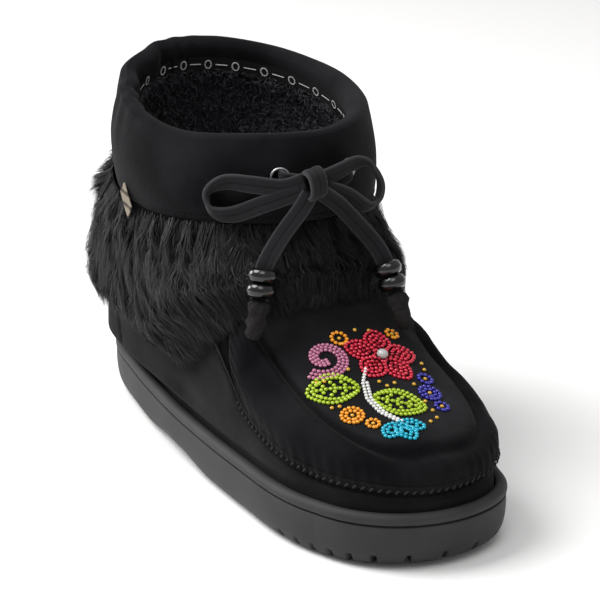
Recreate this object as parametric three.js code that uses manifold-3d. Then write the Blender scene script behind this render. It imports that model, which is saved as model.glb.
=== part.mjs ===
// A short lined mukluk boot for the right foot: rubber cup sole, moccasin-toe suede upper,
// hanging fur band, padded collar and a beaded tie at the front.
// Millimetres, +Z up, toe towards +X, the wearer's outer side towards -Y.
// The group's origin is the middle of the footprint, on the floor.
import * as THREE from "three";
import { mergeVertices } from "three/addons/utils/BufferGeometryUtils.js";
import Module from "manifold-3d";

// Driving dimensions
const SOLE_LENGTH = 280;
const SOLE_HEIGHT = 24; // floor to the top of the lip, before toe spring
const TOE_SPRING = 2.4;
const LIP_SPRING = 0.4; // rise of the lip and the inside floor at the toe
const HEEL_BEVEL = 2;
const ARCH_RISE = 2.5;
const LIP_WIDTH = 4.7; // thickness of the cup's wall
const PLATFORM_Z = 13.7; // inside floor of the cup
const GROOVE_DEPTH = 3.6;
const GAP = 0.35; // between pieces that meet
const COLLAR_GAP = 0.6; // between the collar and the upper inside it
const WALL = 3.2; // suede and lining backing together
const INSOLE_THICK = 5;
const CUFF_LEAF = 3.2; // padded suede outside the collar
const CUFF_INNER_LEAF = 2.2; // binding inside the collar
const CUFF_INNER_DROP = 14; // how far the binding reaches down inside
const LACE_DIAMETER = 4;
const BEAD = { diameter: 12, length: 6, bore: 5 };
const TIP = { diameter: 9, length: 16 };
const EYELET = { ring: 3.6, wire: 1.0, spread: 15.5, x: 23.4, z: 133.6, turn: 0.37, lean: 0.17 };
const KNOT = { x: 38.5, y: -7, z: 133.8, radius: 5.6 };
const LABEL = { thick: 1, width: 6.5, tall: 13, x: -46, y: -56.5, z: 109, lean: 0.32, tilt: 0.55 };
const AROUND = 48; // points round each section, an even number

// Half widths of the sole, before the rounding of its ends, from heel to toe.
const SOLE_OUTLINE = [
  { along: 0.0, lateral: 57, medial: 66 },
  { along: 0.2, lateral: 46.5, medial: 51 },
  { along: 0.45, lateral: 47, medial: 38 },
  { along: 0.68, lateral: 53, medial: 51.5 },
  { along: 0.88, lateral: 67, medial: 65 },
  { along: 1.0, lateral: 78, medial: 84 },
];

// Sections of the upper from the sole up to the collar. Each is a closed loop in a plane that
// joins a point of the back profile (heelX, heelZ) to one of the front profile (toeX, toeZ).
// halfWidth is that of an oval loop, and foot is how much of the sole's outline the loop keeps.
const SECTIONS = [
  { name: "feather", heelX: -134.95, heelZ: 14.05, toeX: 134.95, toeZ: 14.05, halfWidth: 46, foot: 1 },
  { name: "lip", heelX: -134.95, heelZ: 24.5, toeX: 134.5, toeZ: 24.5, halfWidth: 46, foot: 1 },
  { name: "wall", heelX: -134.5, heelZ: 34, toeX: 132.5, toeZ: 27.5, halfWidth: 46, foot: 1 },
  { name: "seam", heelX: -133.5, heelZ: 44, toeX: 131.5, toeZ: 30.5, halfWidth: 46, foot: 0.97 },
  { name: "roll", heelX: -132, heelZ: 54, toeX: 130, toeZ: 37, halfWidth: 46, foot: 0.93 },
  { name: "plug_edge", heelX: -130, heelZ: 63, toeX: 121, toeZ: 44, halfWidth: 46, foot: 0.86 },
  { name: "plug", heelX: -127, heelZ: 72, toeX: 99, toeZ: 51.5, halfWidth: 46, foot: 0.68 },
  { name: "instep", heelX: -124, heelZ: 82, toeX: 72, toeZ: 62, halfWidth: 46, foot: 0.46 },
  { name: "fur_line", heelX: -120, heelZ: 92, toeX: 46, toeZ: 73.5, halfWidth: 46, foot: 0.3 },
  { name: "throat", heelX: -116, heelZ: 102, toeX: 31, toeZ: 87, halfWidth: 47, foot: 0.15 },
  { name: "ankle", heelX: -113, heelZ: 112, toeX: 25, toeZ: 104, halfWidth: 49, foot: 0.03 },
  { name: "collar", heelX: -110.5, heelZ: 137, toeX: 23, toeZ: 127, halfWidth: 50.5, foot: 0 },
  { name: "rim", heelX: -106.6, heelZ: 161, toeX: 20, toeZ: 144.2, halfWidth: 48, foot: 0 },
];
const LEVEL = Object.fromEntries(SECTIONS.map((row, i) => [row.name, i]));
const TOP_LEVEL = SECTIONS.length - 1;
const LOW_FACETS = [0, 1.05, 1.6, 2.3]; // rows of facets near the lip
const HIGH_FACETS = 12; // even rows of facets from there to the rim
const HIGH_FACET_LEVEL = 3;

// The moccasin seam runs round the toe as a pinch, with a puffed roll above it. Its height over
// the floor goes by the distance forward of the middle of the foot.
const SEAM_LINE = [
  { x: 10, z: 92 },
  { x: 30, z: 63 },
  { x: 45, z: 47.6 },
  { x: 72, z: 39.6 },
  { x: 98, z: 34.8 },
  { x: 120, z: 33 },
  { x: 140, z: 30.3 },
];
const PINCH = { depth: 1.6, spread: 3 };
const ROLL = { height: 1.6, above: 9, spread: 5.5 };

// The plug is the rounded panel on top of the foot, sunk a little along its edge.
const PLUG = { centreX: 35, length: 90, lateral: 32.5, medial: 39, depth: 1.2, spread: 3 };

// How far the side wall swells out over the lip of the sole, from heel to toe.
const SWELL = [
  { x: -140, out: 4 },
  { x: -118, out: 8.5 },
  { x: -80, out: 8.5 },
  { x: -25, out: 4.5 },
  { x: 60, out: 3 },
  { x: 140, out: 2.2 },
];
const SWELL_MEDIAL = 0.6; // share of that on the inner side
const SWELL_TOP = { heel: 46, toe: 34, fade: 26 };

// Lower edge of the fur, as a level of the upper, from the heel round to the toe line.
const FUR_EDGE = [
  { along: 0.0, level: 4.1 },
  { along: 0.1, level: 4.1 },
  { along: 0.21, level: 4.5 },
  { along: 0.35, level: 4.9 },
  { along: 0.5, level: 5.1 },
  { along: 0.61, level: 6.5 },
  { along: 0.7, level: 7.1 },
  { along: 0.79, level: 7.6 },
  { along: 0.9, level: 8.15 },
  { along: 1.0, level: 8.6 },
];
const FUR_DEPTH = [
  { down: 0.0, depth: 5.5 },
  { down: 0.2, depth: 12.0 },
  { down: 0.55, depth: 15.0 },
  { down: 0.85, depth: 13.0 },
  { down: 1.0, depth: 5.0 },
];

const FUR_FRONT = 0.7; // share of that depth left over the instep

// Lower edge of the collar, as a level of the upper, from the back to the front.
const COLLAR_EDGE = [
  { along: 0.0, level: 10.25 },
  { along: 0.25, level: 10.12 },
  { along: 0.5, level: 10.09 },
  { along: 0.75, level: 10.22 },
  { along: 1.0, level: 10.4 },
];

// The rim dips on the outer side and rises at the front.
const RIM = { dip: 6, rise: 3, riseFrom: 0.7, lowLevel: 10.3 };

const TREAD = { heelX: -104, toeX: 85, heelHalf: 22, toeHalf: 32 };
const LUG = { pitch: 8, width: 2.4, firstX: 76, count: 8, reach: 160 };
const HEEL_LUG = { pitch: 15, width: 4.2, firstX: -112, count: 4, reach: 34 };

// Plain interpolation helpers
const clamp01 = (value) => Math.min(1, Math.max(0, value));
const mix = (a, b, share) => a + (b - a) * share;
const smooth = (share) => share * share * (3 - 2 * share);
const bump = (value, centre, spread) => Math.exp(-(((value - centre) / spread) ** 2));

// Catmull-Rom through evenly numbered values.
function curveAt(values, position) {
  const last = values.length - 1;
  const i = Math.min(last - 1, Math.max(0, Math.floor(position)));
  const f = position - i;
  const a = values[Math.max(0, i - 1)];
  const b = values[i];
  const c = values[i + 1];
  const d = values[Math.min(last, i + 2)];
  const bend = (2 * a - 5 * b + 4 * c - d) * f * f + (3 * b - a - 3 * c + d) * f * f * f;
  return b + 0.5 * ((c - a) * f + bend);
}

// A table's column at a value of its key column, eased between rows.
function tableAt(table, key, column, value) {
  let i = 0;
  while (i < table.length - 2 && value > table[i + 1][key]) i += 1;
  const share = (value - table[i][key]) / (table[i + 1][key] - table[i][key]);
  return curveAt(table.map((row) => row[column]), i + clamp01(share));
}

// Place round a loop: index 0 is the back, AROUND / 2 the front, the outer side first.
function placeRound(index) {
  const turn = (2 * Math.PI * (((index % AROUND) + AROUND) % AROUND)) / AROUND;
  return { along: (1 - Math.cos(turn)) / 2, side: turn <= Math.PI ? "lateral" : "medial" };
}

// The sole's outline at one place, and the same moved inwards by an inset.
function outlinePoint(index) {
  const { along, side } = placeRound(index);
  const width = 2 * Math.sqrt(along * (1 - along)) * tableAt(SOLE_OUTLINE, "along", side, along);
  return new THREE.Vector2((along - 0.5) * SOLE_LENGTH, side === "lateral" ? -width : width);
}

function insetPoint(index, inset) {
  const along = outlinePoint(index + 0.3).sub(outlinePoint(index - 0.3)).normalize();
  const point = outlinePoint(index);
  return new THREE.Vector2(point.x - along.y * inset, point.y + along.x * inset);
}
const insetOutline = (inset) => Array.from({ length: AROUND }, (_, i) => insetPoint(i, inset));

// How far the sole's underside lies above the floor: bevelled heel, arch and toe spring.
function undersideZ(x) {
  const heel = HEEL_BEVEL * clamp01((-x - 112) / 28) ** 2;
  const arch = ARCH_RISE * smooth(clamp01((x + 62) / 30)) * smooth(clamp01((14 - x) / 30));
  const toe = TOE_SPRING * clamp01((x - 85) / 55) ** 2;
  return heel + arch + toe;
}
const toeLift = (x) => LIP_SPRING * clamp01((x - 85) / 55) ** 2;

function rimChange(level, along, side) {
  const dip = side === "lateral" ? 4 * RIM.dip * along * (1 - along) : 0;
  const rise = RIM.rise * smooth(clamp01((along - RIM.riseFrom) / (1 - RIM.riseFrom)));
  return (rise - dip) * smooth(clamp01((level - RIM.lowLevel) / (TOP_LEVEL - RIM.lowLevel)));
}

// The upper's outer surface. A lift moves the point out along the surface's own normal.
function loopPoint(level, index) {
  const { along, side } = placeRound(index);
  const at = (column) => curveAt(SECTIONS.map((row) => row[column]), level);
  const foot = clamp01(at("foot"));
  const sole = insetPoint(index, LIP_WIDTH + GAP);
  const soleAlong = 0.5 + sole.x / (SOLE_LENGTH - 2 * (LIP_WIDTH + GAP));
  const oval = 2 * Math.sqrt(along * (1 - along)) * at("halfWidth") * (side === "lateral" ? -1 : 1);
  const share = mix(along, soleAlong, foot);
  const x = mix(at("heelX"), at("toeX"), share);
  const z = mix(at("heelZ"), at("toeZ"), share) + toeLift(x) * foot;
  const high = z + rimChange(level, along, side);
  return new THREE.Vector3(x, mix(oval, sole.y, foot), high);
}

function loopNormal(level, index) {
  const step = 0.05;
  const up = loopPoint(Math.min(TOP_LEVEL, level + step), index);
  up.sub(loopPoint(Math.max(0, level - step), index));
  const round = loopPoint(level, index + 0.5).sub(loopPoint(level, index - 0.5));
  return round.cross(up).normalize();
}

function swell({ x, y, z }) {
  const share = mix(1, SWELL_MEDIAL, smooth(clamp01(y / 30 + 0.5)));
  const rises = smooth(clamp01((z - SOLE_HEIGHT - 1 - toeLift(x)) / 6));
  const top = mix(SWELL_TOP.heel, SWELL_TOP.toe, smooth(clamp01((x + 60) / 100)));
  const fades = 1 - smooth(clamp01((z - top) / SWELL_TOP.fade));
  return tableAt(SWELL, "x", "out", x) * share * rises * fades;
}

function relief({ x, y, z }) {
  const front = smooth(clamp01((x - 5) / 30));
  const step = 2;
  const line = tableAt(SEAM_LINE, "x", "z", x);
  const slope = (tableAt(SEAM_LINE, "x", "z", x + step) - line) / step;
  const above = (z - line) / Math.hypot(1, slope);
  const pinch = PINCH.depth * bump(above, 0, PINCH.spread);
  const roll = ROLL.height * bump(above, ROLL.above, ROLL.spread);
  const half = y < 0 ? PLUG.lateral : PLUG.medial;
  const reach = Math.cbrt(Math.abs((x - PLUG.centreX) / PLUG.length) ** 3 + Math.abs(y / half) ** 3);
  const fromEdge = (reach - 1) * half;
  const groove = PLUG.depth * bump(fromEdge, 0, PLUG.spread) * clamp01((z - line) / 8);
  return front * clamp01((z - SOLE_HEIGHT - 3) / 3) * (roll - pinch - groove) + swell({ x, y, z });
}

function upperPoint(level, index, lift = 0) {
  const point = loopPoint(level, index);
  const out = lift + (lift < 0 ? 0 : relief(point));
  return point.addScaledVector(loopNormal(level, index), out);
}

// Closed meshes from rings of points
function ring(makePoint) {
  return Array.from({ length: AROUND }, (_, index) => makePoint(index));
}

class MeshMaker {
  constructor() {
    this.positions = [];
    this.faces = [];
  }
  add(points) {
    const first = this.positions.length / 3;
    points.forEach((point) => this.positions.push(point.x, point.y, point.z));
    return points.map((_, i) => first + i);
  }
  quad(a, b, c, d) {
    this.faces.push(a, b, c, a, c, d);
  }
  // Joins one ring of points to the next.
  band(lower, upper) {
    lower.forEach((_, i) => {
      const next = (i + 1) % lower.length;
      this.quad(lower[i], lower[next], upper[next], upper[i]);
    });
  }
  // Closes a ring with rungs between its two sides.
  cap(loop, facesUp) {
    const half = loop.length / 2;
    const tri = (a, b, c) => this.faces.push(...(facesUp ? [a, b, c] : [a, c, b]));
    tri(loop[0], loop[1], loop[loop.length - 1]);
    for (let i = 1; i < half - 1; i += 1) {
      const [a, b] = [loop[i], loop[i + 1]];
      const [c, d] = [loop[loop.length - i - 1], loop[loop.length - i]];
      tri(a, b, c);
      tri(a, c, d);
    }
    tri(loop[half - 1], loop[half], loop[half + 1]);
  }
  geometry() {
    const made = new THREE.BufferGeometry();
    made.setAttribute("position", new THREE.Float32BufferAttribute(this.positions, 3));
    made.setIndex(this.faces);
    made.computeVertexNormals();
    return made;
  }
}

// A tube-like wall whose cross-section is the closed list of rings.
function ringSolid(rings) {
  const maker = new MeshMaker();
  const loops = rings.map((points) => maker.add(points));
  loops.forEach((loop, i) => maker.band(loop, loops[(i + 1) % loops.length]));
  return maker.geometry();
}

// A solid of stacked rings with a cap below and above.
function stackedSolid(rings) {
  const maker = new MeshMaker();
  const loops = rings.map((points) => maker.add(points));
  loops.slice(1).forEach((loop, i) => maker.band(loops[i], loop));
  maker.cap(loops[0], false);
  maker.cap(loops[loops.length - 1], true);
  return maker.geometry();
}

// Cutting with manifold-3d
const wasm = await Module();
wasm.setup();

function solidOf(geometry) {
  const bare = geometry.clone();
  bare.deleteAttribute("normal");
  bare.deleteAttribute("uv");
  const merged = mergeVertices(bare, 1e-4);
  return new wasm.Manifold(
    new wasm.Mesh({
      numProp: 3,
      vertProperties: merged.attributes.position.array,
      triVerts: new Uint32Array(merged.index.array),
    }),
  );
}

function geometryOf(solid) {
  const mesh = solid.getMesh();
  const made = new THREE.BufferGeometry();
  made.setAttribute("position", new THREE.BufferAttribute(mesh.vertProperties, 3));
  made.setIndex(new THREE.BufferAttribute(mesh.triVerts, 1));
  made.computeVertexNormals();
  return made;
}

// Rubber cup sole: rounded bottom edge, a line under the lip, cross grooves
const SOLE_PROFILE = [
  { inset: 7.5, above: 0.4, followsLip: false },
  { inset: 3.6, above: 1.8, followsLip: false },
  { inset: 1.1, above: 6.0, followsLip: false },
  { inset: 0.2, above: 11.5, followsLip: false },
  { inset: 0.2, above: SOLE_HEIGHT - 5.7, followsLip: true },
  { inset: 1.3, above: SOLE_HEIGHT - 4.9, followsLip: true },
  { inset: 0.0, above: SOLE_HEIGHT - 4.1, followsLip: true },
  { inset: 0.3, above: SOLE_HEIGHT - 1.8, followsLip: true },
  { inset: 1.8, above: SOLE_HEIGHT, followsLip: true },
  { inset: LIP_WIDTH - 0.5, above: SOLE_HEIGHT - 0.5, followsLip: true },
  { inset: LIP_WIDTH, above: PLATFORM_Z, followsLip: false },
];

function soleRing({ inset, above, followsLip }) {
  return insetOutline(inset).map(({ x, y }) => {
    const base = followsLip ? toeLift(x) : undersideZ(x) * clamp01(1 - above / SOLE_HEIGHT);
    const lift = above >= PLATFORM_Z ? toeLift(x) : base;
    return new THREE.Vector3(x, y, above + lift);
  });
}

// The part of the underside that meets the floor, straight along both sides
function treadRing() {
  return ring((index) => {
    const { along, side } = placeRound(index);
    const x = mix(TREAD.heelX, TREAD.toeX, along);
    const half = along > 0 && along < 1 ? mix(TREAD.heelHalf, TREAD.toeHalf, along) : 0;
    return new THREE.Vector3(x, side === "lateral" ? -half : half, undersideZ(x));
  });
}

function grooveCutter({ pitch, width, firstX, reach }, number) {
  const x = firstX + pitch * number;
  const cutter = new THREE.BoxGeometry(width, reach, 2 * GROOVE_DEPTH);
  cutter.translate(x, 0, undersideZ(x));
  return solidOf(cutter);
}

function outsoleGeometry() {
  let sole = solidOf(stackedSolid([treadRing(), ...SOLE_PROFILE.map(soleRing)]));
  for (const row of [LUG, HEEL_LUG]) {
    for (let number = 0; number < row.count; number += 1) {
      sole = sole.subtract(grooveCutter(row, number));
    }
  }
  return geometryOf(sole);
}

// Footbed lying on the cup's floor inside the upper
function insoleGeometry() {
  const inset = LIP_WIDTH + WALL + 2 * GAP + 0.6;
  const at = (extra, z) =>
    insetOutline(inset + extra).map(({ x, y }) => new THREE.Vector3(x, y, z + toeLift(x)));
  const bottom = PLATFORM_Z + GAP;
  return stackedSolid([
    at(0, bottom),
    at(0, bottom + INSOLE_THICK - 1.5),
    at(1.8, bottom + INSOLE_THICK),
  ]);
}

// Hollow upper: outside skin up, over the rim, inside skin down
function upperGeometry(grown = 0) {
  const outer = [];
  const inner = [];
  const levels = [...LOW_FACETS];
  for (let i = 0; i <= HIGH_FACETS; i += 1) {
    levels.push(mix(HIGH_FACET_LEVEL, TOP_LEVEL, i / HIGH_FACETS));
  }
  for (const level of levels) {
    outer.push(ring((index) => upperPoint(level, index, grown)));
    inner.unshift(ring((index) => upperPoint(level, index, -WALL)));
  }
  return ringSolid([...outer, ...inner]);
}

// Collar: a padded suede leaf outside, folded over the rim and bound inside
const collarEdge = (index) => tableAt(COLLAR_EDGE, "along", "level", placeRound(index).along);

function collarGeometry() {
  const rings = [];
  const beside = (share, lift) =>
    rings.push(ring((index) => upperPoint(mix(collarEdge(index), TOP_LEVEL, share), index, lift)));
  const over = (lift, rise) =>
    rings.push(ring((index) => upperPoint(TOP_LEVEL, index, lift).add({ x: 0, y: 0, z: rise })));
  const outside = COLLAR_GAP + CUFF_LEAF;
  const inside = -WALL - COLLAR_GAP;
  const bound = 1 - CUFF_INNER_DROP / 45;
  beside(0, COLLAR_GAP);
  beside(0, COLLAR_GAP + CUFF_LEAF * 0.55);
  beside(0.06, outside);
  beside(0.35, outside + 0.5);
  beside(0.7, outside + 0.3);
  over(outside, 0);
  over(outside * 0.75, 2.4);
  over(0, 3.6);
  over(inside - CUFF_INNER_LEAF * 0.2, 3.4);
  over(inside - CUFF_INNER_LEAF, 1.2);
  beside(bound, inside - CUFF_INNER_LEAF);
  beside(bound, inside);
  over(inside, COLLAR_GAP);
  over(COLLAR_GAP, COLLAR_GAP);
  beside(0.7, COLLAR_GAP);
  beside(0.35, COLLAR_GAP);
  return ringSolid(rings);
}

// Fur band hanging from under the collar's lower edge
function furGeometry() {
  const levelAt = (down, index) => {
    const low = tableAt(FUR_EDGE, "along", "level", placeRound(index).along);
    return mix(collarEdge(index) - 0.03, low, down);
  };
  const rows = FUR_DEPTH.map(({ down, depth }) =>
    ring((index) => {
      const share = mix(1, FUR_FRONT, placeRound(index).along);
      return upperPoint(levelAt(down, index), index, GAP + depth * share);
    }),
  );
  const backing = [1, 0.75, 0.5, 0.25, 0].map((down) =>
    ring((index) => upperPoint(levelAt(down, index), index, -WALL / 2)),
  );
  const fleece = solidOf(ringSolid([...rows, ...backing].reverse()));
  return geometryOf(fleece.subtract(solidOf(upperGeometry(GAP))));
}

// Turned pieces: a list of rings about an axis through a point
function turnedRing(centre, axis, radius, along, sides = 16) {
  const turn = new THREE.Quaternion().setFromUnitVectors(new THREE.Vector3(0, 0, 1), axis);
  return Array.from({ length: sides }, (_, i) => {
    const angle = (2 * Math.PI * i) / sides;
    const point = new THREE.Vector3(radius * Math.cos(angle), radius * Math.sin(angle), along);
    return point.applyQuaternion(turn).add(centre);
  });
}

// Wire ring of an eyelet, just clear of the collar's front
function eyeletGeometry(side) {
  const axis = new THREE.Vector3(Math.cos(EYELET.turn), side * Math.sin(EYELET.turn), EYELET.lean);
  axis.normalize();
  const centre = new THREE.Vector3(EYELET.x, side * EYELET.spread, EYELET.z);
  centre.addScaledVector(axis, EYELET.wire + GAP + 0.2);
  const around = [0, 60, 120, 180, 240, 300].map((degrees) => (degrees * Math.PI) / 180);
  const rings = around.map((angle) => {
    const radius = EYELET.ring + EYELET.wire * Math.cos(angle);
    return turnedRing(centre, axis, radius, EYELET.wire * Math.sin(angle), 20);
  });
  return ringSolid(rings);
}

// The tie: a run between the eyelets, a knot, two loops and two ends
const point = (x, y, z) => new THREE.Vector3(x, y, z);
const LACE_BAR = [
  point(28.7, -16.4, 133.3),
  point(30.4, -9, 132.2),
  point(31.2, 0, 131.2),
  point(30.4, 9, 132.2),
  point(28.7, 16.4, 133.3),
];
const LOOP_LATERAL = [
  point(35.8, -13, 134.8),
  point(32.8, -20, 131.6),
  point(23.4, -29.5, 132.4),
  point(15.4, -37.1, 132.1),
  point(9, -42.4, 125.6),
  point(12.4, -40.1, 118.4),
  point(19.8, -34.2, 119.4),
  point(27.6, -26.4, 123.9),
  point(35.4, -12.8, 129.4),
];
const LOOP_MEDIAL = [
  point(36.3, -0.6, 134.2),
  point(35.3, 7, 136.2),
  point(33.7, 14.4, 137.4),
  point(33.4, 21.8, 135.8),
  point(34.3, 25.9, 129),
  point(36.2, 23.6, 121.8),
  point(38.2, 17.7, 119.8),
  point(37.6, 8, 126.4),
  point(37.2, -0.6, 130),
];
const END_LATERAL = [
  point(38.5, -8.8, 126.9),
  point(37, -14, 121),
  point(36.8, -21.5, 114.5),
  point(38.4, -29.9, 107.2),
  point(39.3, -31.3, 101.4),
  point(41.6, -34.6, 88),
];
const END_MEDIAL = [
  point(39, -3.6, 127.5),
  point(37.6, 4, 122.5),
  point(38, 13.5, 112),
  point(43.7, 20.8, 103.6),
  point(46.1, 21.7, 98.2),
  point(51.6, 23.8, 85.5),
];

function cordGeometry(points, steps) {
  const outline = new THREE.Shape();
  outline.absarc(0, 0, LACE_DIAMETER / 2, 0, 2 * Math.PI, false);
  const curve = new THREE.CatmullRomCurve3(points);
  const settings = { steps, curveSegments: 4, bevelEnabled: false, extrudePath: curve };
  return new THREE.ExtrudeGeometry(outline, settings);
}

function knotGeometry() {
  const centre = point(KNOT.x, KNOT.y, KNOT.z);
  const axis = point(0, 1, 0);
  const profile = [-0.92, -0.6, 0, 0.6, 0.92];
  return stackedSolid(
    profile.map((share) => {
      const radius = KNOT.radius * Math.sqrt(1 - share * share);
      return turnedRing(centre, axis, radius, share * KNOT.radius, 14);
    }),
  );
}

// Beads and tips follow the last stretch of their end.
function endLine(points) {
  const last = points[points.length - 1];
  const axis = last.clone().sub(points[points.length - 2]).normalize();
  return { last, axis };
}

function beadGeometry(points, number) {
  const { last, axis } = endLine(points);
  const middle = -1 - BEAD.length / 2 - (1 - number) * (BEAD.length + GAP);
  const half = BEAD.length / 2;
  const outer = BEAD.diameter / 2;
  const bore = BEAD.bore / 2;
  const profile = [
    [bore, -half],
    [outer * 0.75, -half],
    [outer, -half * 0.35],
    [outer, half * 0.35],
    [outer * 0.75, half],
    [bore, half],
  ];
  return ringSolid(profile.map(([radius, up]) => turnedRing(last, axis, radius, middle + up)));
}

function tipGeometry(points) {
  const { last, axis } = endLine(points);
  const outer = TIP.diameter / 2;
  const profile = [
    [outer * 0.6, GAP],
    [outer, 3],
    [outer * 0.95, TIP.length - 2],
    [outer * 0.7, TIP.length],
  ];
  return stackedSolid(profile.map(([radius, along]) => turnedRing(last, axis, radius, along, 12)));
}

// Woven label held in the collar's seam on the outer side
function labelGeometry() {
  const label = new THREE.BoxGeometry(LABEL.width, LABEL.thick, LABEL.tall);
  label.rotateY(-LABEL.tilt);
  label.rotateX(-LABEL.lean);
  label.translate(LABEL.x, LABEL.y, LABEL.z);
  return label;
}

// The boot as an assembly
const suede = (name, color) => new THREE.MeshStandardMaterial({ name, color, roughness: 0.95 });
const shiny = { roughness: 0.25 };
const MATERIAL = {
  rubber: new THREE.MeshStandardMaterial({ name: "rubber", color: 0x3c3c3d, roughness: 0.7 }),
  footbed: suede("footbed", 0x17171a),
  upper: suede("upper", 0x1c1c1f),
  collar: suede("collar", 0x1b1b1e),
  fur: suede("fur", 0x202123),
  lace: suede("lace", 0x1e1d21),
  bead: new THREE.MeshStandardMaterial({ name: "bead", color: 0x08080a, ...shiny }),
  metal: new THREE.MeshStandardMaterial({ name: "metal", color: 0xb4b5b8, metalness: 1, ...shiny }),
  label: suede("label", 0xa59a86),
};

const boot = new THREE.Group();
function addPiece(name, geometry, material) {
  const mesh = new THREE.Mesh(geometry, material);
  mesh.name = name;
  boot.add(mesh);
}

addPiece("outsole", outsoleGeometry(), MATERIAL.rubber);
addPiece("insole", insoleGeometry(), MATERIAL.footbed);
addPiece("upper", upperGeometry(), MATERIAL.upper);
addPiece("fur_band", furGeometry(), MATERIAL.fur);
addPiece("collar", collarGeometry(), MATERIAL.collar);
addPiece("eyelet_lateral", eyeletGeometry(-1), MATERIAL.metal);
addPiece("eyelet_medial", eyeletGeometry(1), MATERIAL.metal);
addPiece("lace_bar", cordGeometry(LACE_BAR, 8), MATERIAL.lace);
addPiece("lace_knot", knotGeometry(), MATERIAL.lace);
addPiece("lace_loop_lateral", cordGeometry(LOOP_LATERAL, 18), MATERIAL.lace);
addPiece("lace_loop_medial", cordGeometry(LOOP_MEDIAL, 18), MATERIAL.lace);
addPiece("lace_end_lateral", cordGeometry(END_LATERAL, 14), MATERIAL.lace);
addPiece("lace_end_medial", cordGeometry(END_MEDIAL, 14), MATERIAL.lace);
addPiece("bead_lateral_1", beadGeometry(END_LATERAL, 0), MATERIAL.bead);
addPiece("bead_lateral_2", beadGeometry(END_LATERAL, 1), MATERIAL.bead);
addPiece("bead_medial_1", beadGeometry(END_MEDIAL, 0), MATERIAL.bead);
addPiece("bead_medial_2", beadGeometry(END_MEDIAL, 1), MATERIAL.bead);
addPiece("tip_lateral", tipGeometry(END_LATERAL), MATERIAL.lace);
addPiece("tip_medial", tipGeometry(END_MEDIAL), MATERIAL.lace);
addPiece("side_label", labelGeometry(), MATERIAL.label);

// The origin goes to the middle of the whole boot's footprint, on the floor.
const box = new THREE.Box3().setFromObject(boot);
const middle = box.getCenter(new THREE.Vector3());
boot.children.forEach((mesh) => mesh.geometry.translate(-middle.x, -middle.y, -box.min.z));

export default boot;
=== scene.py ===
"""A short lined mukluk boot for the right foot, in black suede, standing on a pale floor.

Metres, +Z up, toe towards +X, the wearer's outer side towards -Y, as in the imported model.
Sizes are in millimetres, apart from the stage's, and are turned into metres when a mesh is made.
"""

import math

import bmesh
import bpy
import numpy as np
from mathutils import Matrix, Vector
from mathutils.bvhtree import BVHTree
from mathutils.kdtree import KDTree


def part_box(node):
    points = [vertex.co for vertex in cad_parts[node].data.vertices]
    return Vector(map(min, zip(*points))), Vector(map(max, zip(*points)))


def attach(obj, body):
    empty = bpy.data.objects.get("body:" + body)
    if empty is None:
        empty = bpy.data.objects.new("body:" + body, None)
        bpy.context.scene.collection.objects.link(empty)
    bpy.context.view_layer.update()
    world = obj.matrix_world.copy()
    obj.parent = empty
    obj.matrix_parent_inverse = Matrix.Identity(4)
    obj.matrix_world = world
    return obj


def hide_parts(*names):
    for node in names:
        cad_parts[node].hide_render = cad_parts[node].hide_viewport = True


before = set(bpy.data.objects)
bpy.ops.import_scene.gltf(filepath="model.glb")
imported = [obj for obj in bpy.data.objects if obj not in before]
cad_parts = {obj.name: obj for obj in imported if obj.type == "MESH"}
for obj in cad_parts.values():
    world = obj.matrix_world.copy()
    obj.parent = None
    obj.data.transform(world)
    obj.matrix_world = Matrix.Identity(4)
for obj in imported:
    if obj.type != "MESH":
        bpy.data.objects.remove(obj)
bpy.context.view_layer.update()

# Outsole
# One piece of dark grey rubber, moulded as a cup. A rounded lip runs round the top with a line under
# it, and cross grooves cut through the bottom edge round the forefoot. The upper is cemented inside.
SOLE_LENGTH = 280
LIP_WIDTH = 4.7
PLATFORM = 13.7
SOLE_ALONG = [0, 0.2, 0.45, 0.68, 0.88, 1]
SOLE_LATERAL = [57, 46.5, 47, 53, 67, 78]
SOLE_MEDIAL = [66, 51, 38, 51.5, 65, 84]


def between(a, b, c, d, f):
    """A share f of the way from b to c, on a Catmull-Rom curve that comes from a and goes on to d."""
    return b + 0.5 * ((c - a) * f + (2 * a - 5 * b + 4 * c - d) * f**2 + (3 * b - a - 3 * c + d) * f**3)


def curve_at(values, position):
    """A smooth curve through evenly numbered values."""
    values = np.asarray(values, float)
    last = len(values) - 1
    i = np.clip(np.floor(position).astype(int), 0, last - 1)
    a, b = values[np.maximum(i - 1, 0)], values[i]
    c, d = values[i + 1], values[np.minimum(i + 2, last)]
    return between(a, b, c, d, position - i)


def table_at(keys, values, at):
    """A column of a short table, eased between its rows."""
    at = np.clip(at, keys[0], keys[-1])
    i = np.clip(np.searchsorted(keys, at, side="left") - 1, 0, len(keys) - 2)
    keys = np.asarray(keys, float)
    return curve_at(values, i + (at - keys[i]) / (keys[i + 1] - keys[i]))


def ease(share):
    """A soft step from 0 to 1."""
    share = np.clip(share, 0, 1)
    return share * share * (3 - 2 * share)


def bump_at(value, centre, spread):
    """A round bump, 1 high at its centre."""
    return np.exp(-(((value - centre) / spread) ** 2))


def unit(vectors):
    """Vectors brought to a length of 1."""
    return vectors / np.linalg.norm(vectors, axis=-1, keepdims=True)


def way_along(line):
    """How far along a line each of its points lies."""
    return np.concatenate([[0], np.cumsum(np.linalg.norm(np.diff(line, axis=0), axis=1))])


def along_boot(u):
    """How far a place round the boot lies from heel to toe, from 0 to 1."""
    return (1 - np.cos(2 * np.pi * u)) / 2


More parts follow.
